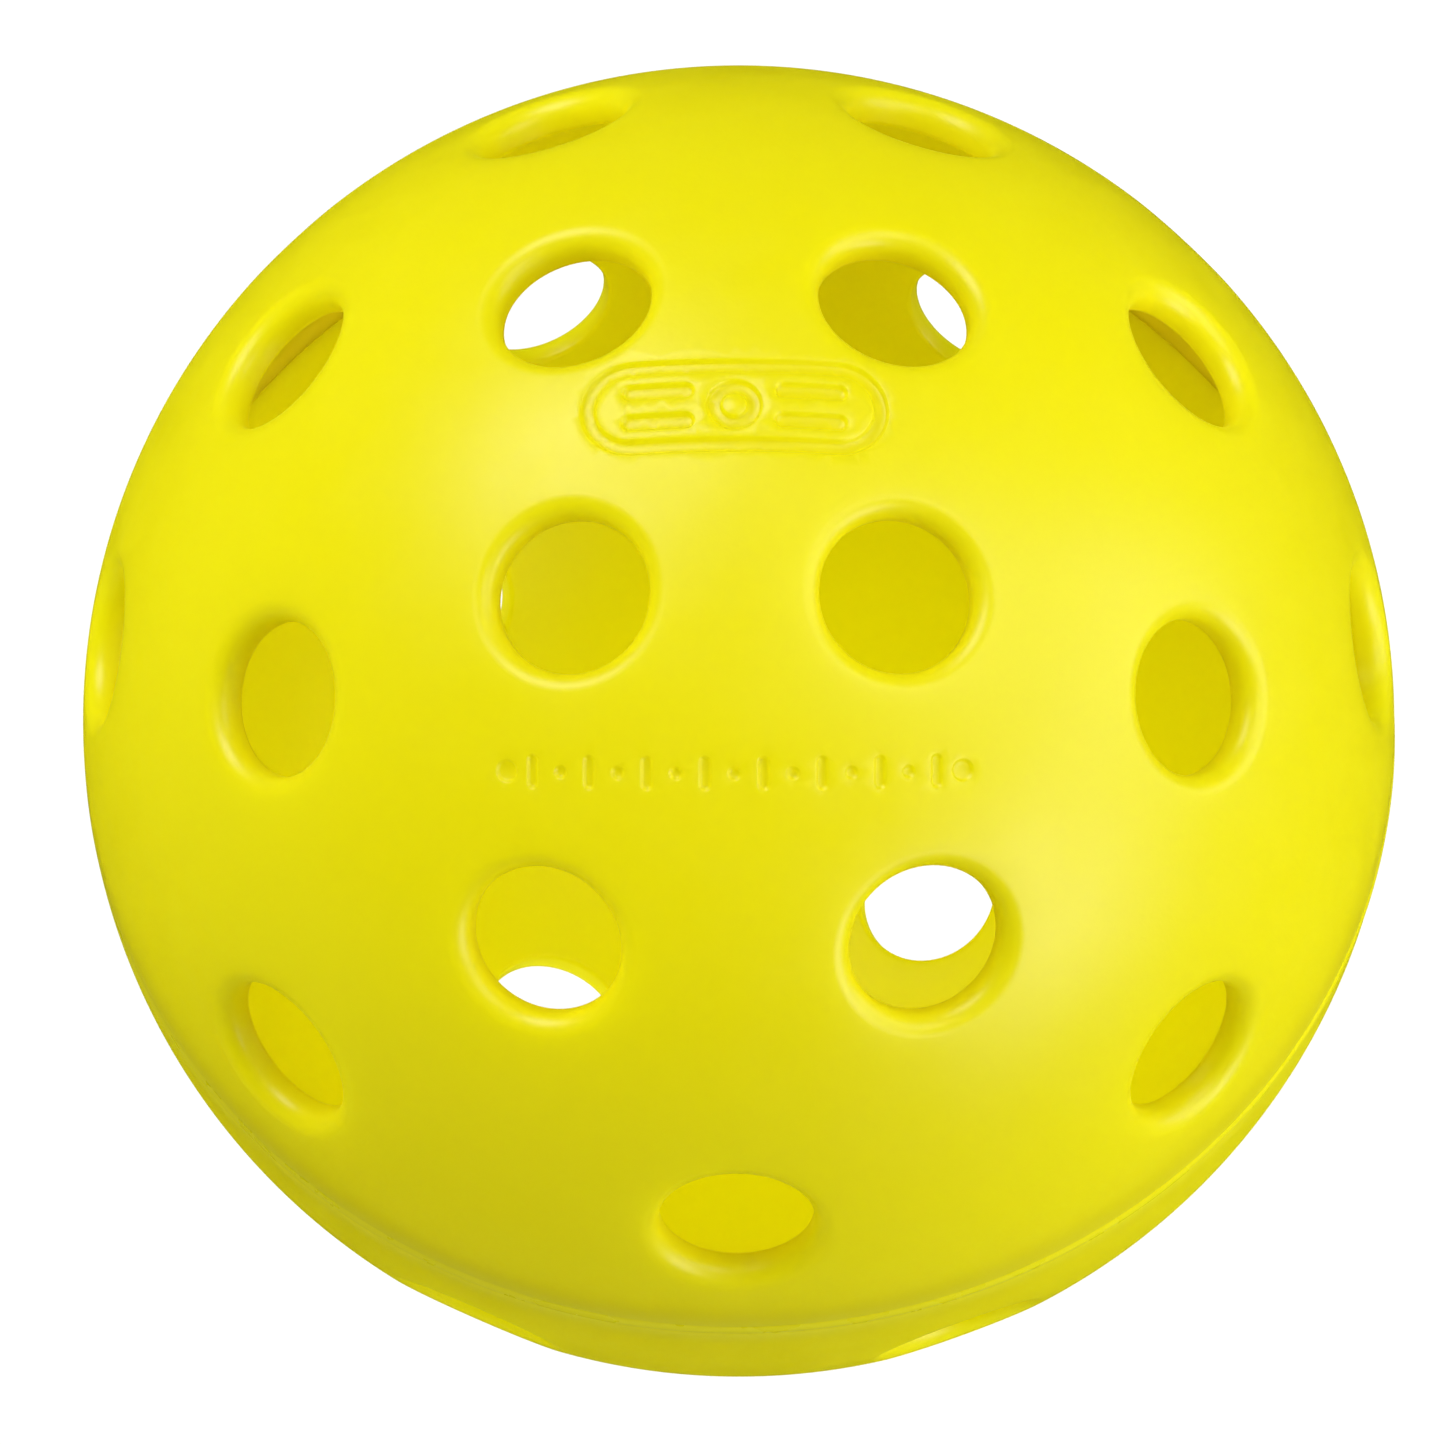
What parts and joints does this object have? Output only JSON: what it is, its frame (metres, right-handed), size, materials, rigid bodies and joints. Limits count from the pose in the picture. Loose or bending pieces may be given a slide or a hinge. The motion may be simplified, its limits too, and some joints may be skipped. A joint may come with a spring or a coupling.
{
  "type": "pickleball ball",
  "caption": "Hollow round court ball with evenly spread round holes, welded from moulded half shells.",
  "frame": {"origin": "centre of the ball", "axes": "+Z is the pole of the upper half shell, normal to the plane of the weld; +X and +Y point at the azimuths of holes in the upper half's ring next to the weld"},
  "size_m": [0.0742, 0.0742, 0.074],
  "materials": {
    "shell_plastic": "satin moulded, slightly translucent",
    "weld_plastic": "satin, as remelted"
  },
  "bodies": {
    "root": {"upper_half_shell": "shell_plastic", "lower_half_shell": "shell_plastic", "seam_weld": "weld_plastic"}
  },
  "joints": []
}
